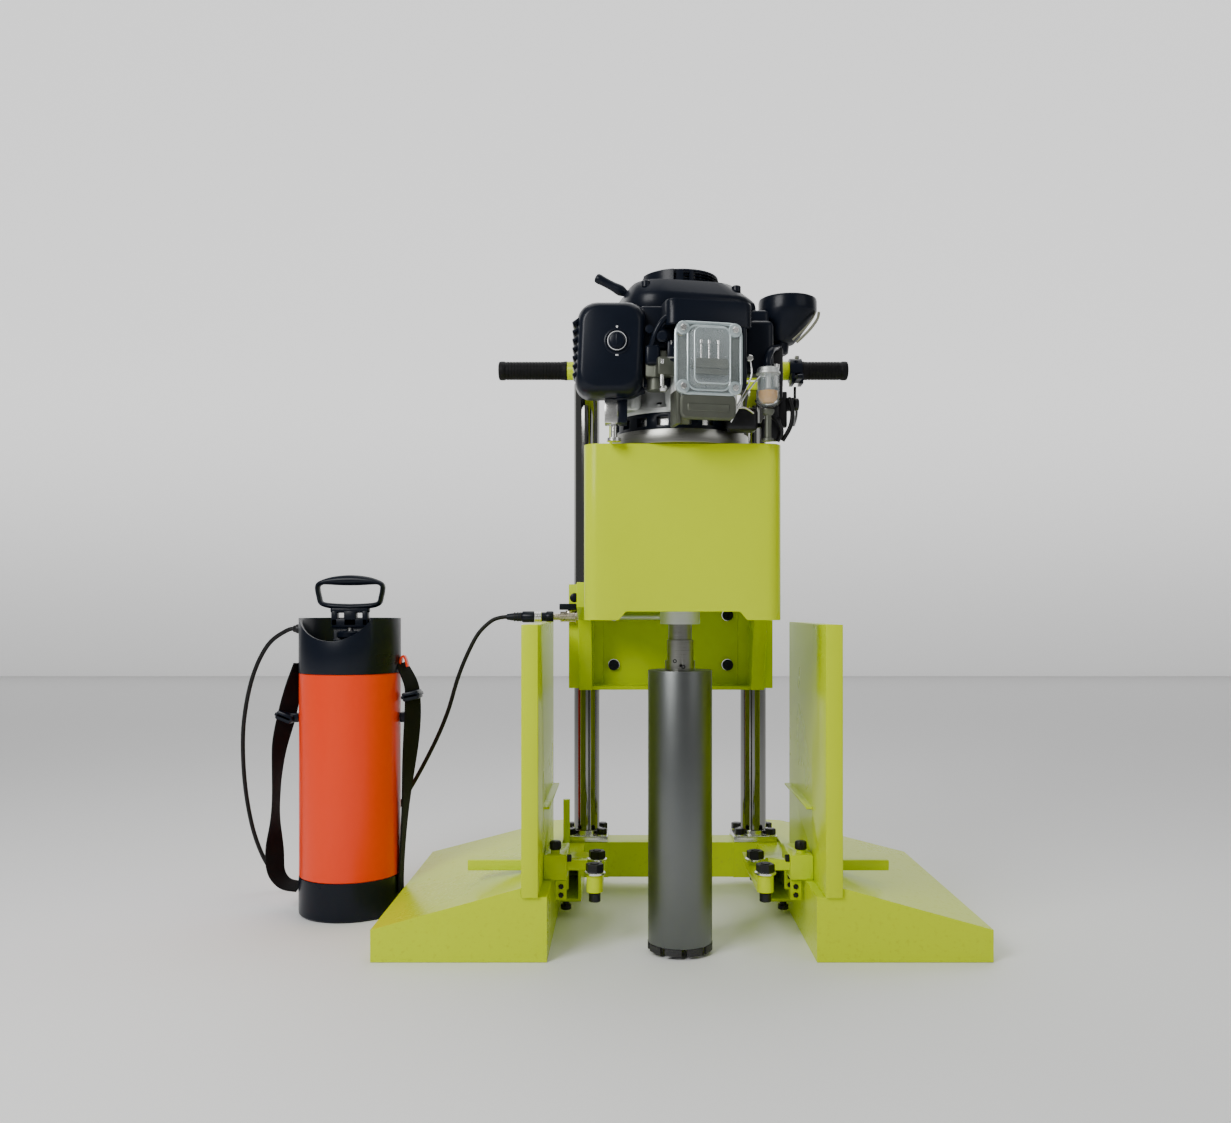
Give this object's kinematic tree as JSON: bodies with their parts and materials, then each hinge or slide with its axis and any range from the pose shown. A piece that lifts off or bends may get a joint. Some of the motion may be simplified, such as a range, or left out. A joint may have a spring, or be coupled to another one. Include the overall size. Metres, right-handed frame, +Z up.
{
  "type": "core drill rig",
  "caption": "Petrol core drill rig: winged steel base, two guide columns, sliding geared engine carriage with core barrel, splash guards and a hand-pumped water tank on a hose.",
  "frame": {"origin": "centre of the rig and water tank on the floor, without the loose hose", "axes": "+Z up, -Y towards the side the operator's view shows (cover and rocker cover face), +X to the right-hand wing"},
  "size_m": [1.2863, 0.7599, 1.0718],
  "materials": {
    "yellow_paint": "gloss",
    "black_paint": "satin",
    "steel": "satin",
    "zinc": "satin",
    "chrome": "polished",
    "aluminium": "cast",
    "barrel_steel": "satin",
    "orange_plastic": "gloss",
    "black_plastic": "gloss",
    "black_matte": "matte",
    "brass": "satin",
    "rubber": "matte",
    "webbing": "woven",
    "glass": "clear"
  },
  "bodies": {
    "base": {"base_frame": "black_paint", "guide_columns": "chrome", "column_flanges": "black_paint", "frame_screws": "black_paint", "column_bridge": "yellow_paint", "left_wing": "yellow_paint", "right_wing": "yellow_paint", "left_guard": "yellow_paint", "right_guard": "yellow_paint", "sleeve_blocks": "black_paint", "tank_shell": "orange_plastic", "tank_base": "black_plastic", "tank_head": "black_plastic", "tank_straps": "webbing", "water_hose": "rubber"},
    "left_bar": {"left_lock_bar": "black_paint"},
    "right_bar": {"right_lock_bar": "black_paint"},
    "left_knob": {"left_clamp_knob": "black_matte"},
    "right_knob": {"right_clamp_knob": "black_matte"},
    "carriage": {"carriage_block": "yellow_paint", "linear_bushes": "steel", "front_cover": "yellow_paint", "gearbox_housing": "aluminium", "gearbox_lid": "aluminium", "gearbox_bearings": "steel", "water_swivel": "aluminium", "valve_body": "brass", "hose_coupler": "black_matte", "handlebar": "yellow_paint", "left_grip": "rubber", "right_grip": "rubber", "throttle_clamp": "black_matte", "throttle_cable": "rubber", "adapter_disc": "steel", "engine_skirt": "black_paint", "crankcase": "aluminium", "rocker_cover": "aluminium", "engine_shroud": "black_plastic", "recoil_housing": "black_plastic", "piston_and_rod": "steel", "air_cleaner": "black_plastic", "carburettor": "aluminium", "fuel_bowl": "glass", "fuel_tank": "black_plastic", "muffler": "zinc"},
    "spindle_set": {"output_gear": "steel", "spindle": "steel", "core_adapter": "steel", "core_barrel": "barrel_steel", "barrel_segments": "steel"},
    "layshaft_set": {"layshaft": "steel"},
    "crank_set": {"flywheel": "steel", "crankshaft": "steel"},
    "valve_handle": {"valve_lever": "black_matte"},
    "sleeve": {"coupler_sleeve": "zinc"},
    "throttle": {"throttle_lever": "black_matte"},
    "cleaner_knob": {"air_cleaner_knob": "black_matte"},
    "pull_grip": {"starter_grip": "black_plastic"},
    "rope_pulley": {"starter_pulley": "black_plastic"},
    "pump": {"pump_handle": "black_plastic"}
  },
  "joints": [
    {"name": "carriage_feed", "type": "slide", "parent": "base", "child": "carriage", "axis": [0, 0, -1], "range_m": [-0.33, 0.21], "deforming": ["water_hose"]},
    {"name": "spindle_spin", "type": "hinge", "parent": "carriage", "child": "spindle_set", "pos_m": [0.12025, -0.19063, 0.48], "axis": [0, 0, -1], "continuous": true},
    {"name": "layshaft_spin", "type": "hinge", "parent": "carriage", "child": "layshaft_set", "pos_m": [0.12025, -0.13064, 0.68], "axis": [0, 0, -1], "continuous": true},
    {"name": "crank_spin", "type": "hinge", "parent": "carriage", "child": "crank_set", "pos_m": [0.12025, -0.19063, 0.9], "axis": [0, 0, -1], "continuous": true},
    {"name": "valve_lever_turn", "type": "hinge", "parent": "carriage", "child": "valve_handle", "pos_m": [-0.07475, 0.16737, 0.541], "axis": [0, 0, 1], "range_deg": [0, 90]},
    {"name": "coupler_sleeve_pull", "type": "slide", "parent": "carriage", "child": "sleeve", "axis": [1, 0, 0], "range_m": [0, 0.006], "stiffness_N_per_m": 2500, "springref_m": -0.002},
    {"name": "throttle_squeeze", "type": "hinge", "parent": "carriage", "child": "throttle", "pos_m": [0.34325, 0.04836, 0.96], "axis": [1, 0, 0], "range_deg": [0, 40], "stiffness_Nm_per_rad": 0.6, "springref_deg": -8.59},
    {"name": "air_cleaner_knob_turn", "type": "hinge", "parent": "carriage", "child": "cleaner_knob", "pos_m": [0.02125, -0.35063, 0.932], "axis": [0, 1, 0], "range_deg": [0, 90]},
    {"name": "starter_pull", "type": "slide", "parent": "carriage", "child": "pull_grip", "axis": [-0.8829, 0, 0.4695], "range_m": [0, 0.5], "stiffness_N_per_m": 30, "springref_m": -0.3},
    {"name": "rope_pulley_spin", "type": "hinge", "parent": "carriage", "child": "rope_pulley", "pos_m": [0.12025, -0.19063, 1.057], "axis": [0, 0, 1], "range_deg": [0, 800]},
    {"name": "left_bar_slide", "type": "slide", "parent": "base", "child": "left_bar", "axis": [1, 0, 0], "range_m": [0, 0.07]},
    {"name": "right_bar_slide", "type": "slide", "parent": "base", "child": "right_bar", "axis": [-1, 0, 0], "range_m": [0, 0.07]},
    {"name": "left_knob_turn", "type": "hinge", "parent": "base", "child": "left_knob", "pos_m": [-0.08275, -0.12263, 0.15], "axis": [0, 0, 1], "range_deg": [-180, 180]},
    {"name": "right_knob_turn", "type": "hinge", "parent": "base", "child": "right_knob", "pos_m": [0.32325, -0.12263, 0.15], "axis": [0, 0, 1], "range_deg": [-180, 180]},
    {"name": "pump_stroke", "type": "slide", "parent": "base", "child": "pump", "axis": [0, 0, 1], "range_m": [0, 0.25]}
  ],
  "couplings": [
    {"joint": "layshaft_spin", "follows": "spindle_spin", "ratio": -2.5294},
    {"joint": "crank_spin", "follows": "spindle_spin", "ratio": 5.902},
    {"joint": "rope_pulley_spin", "follows": "starter_pull", "rad_per_m": 27.778}
  ]
}
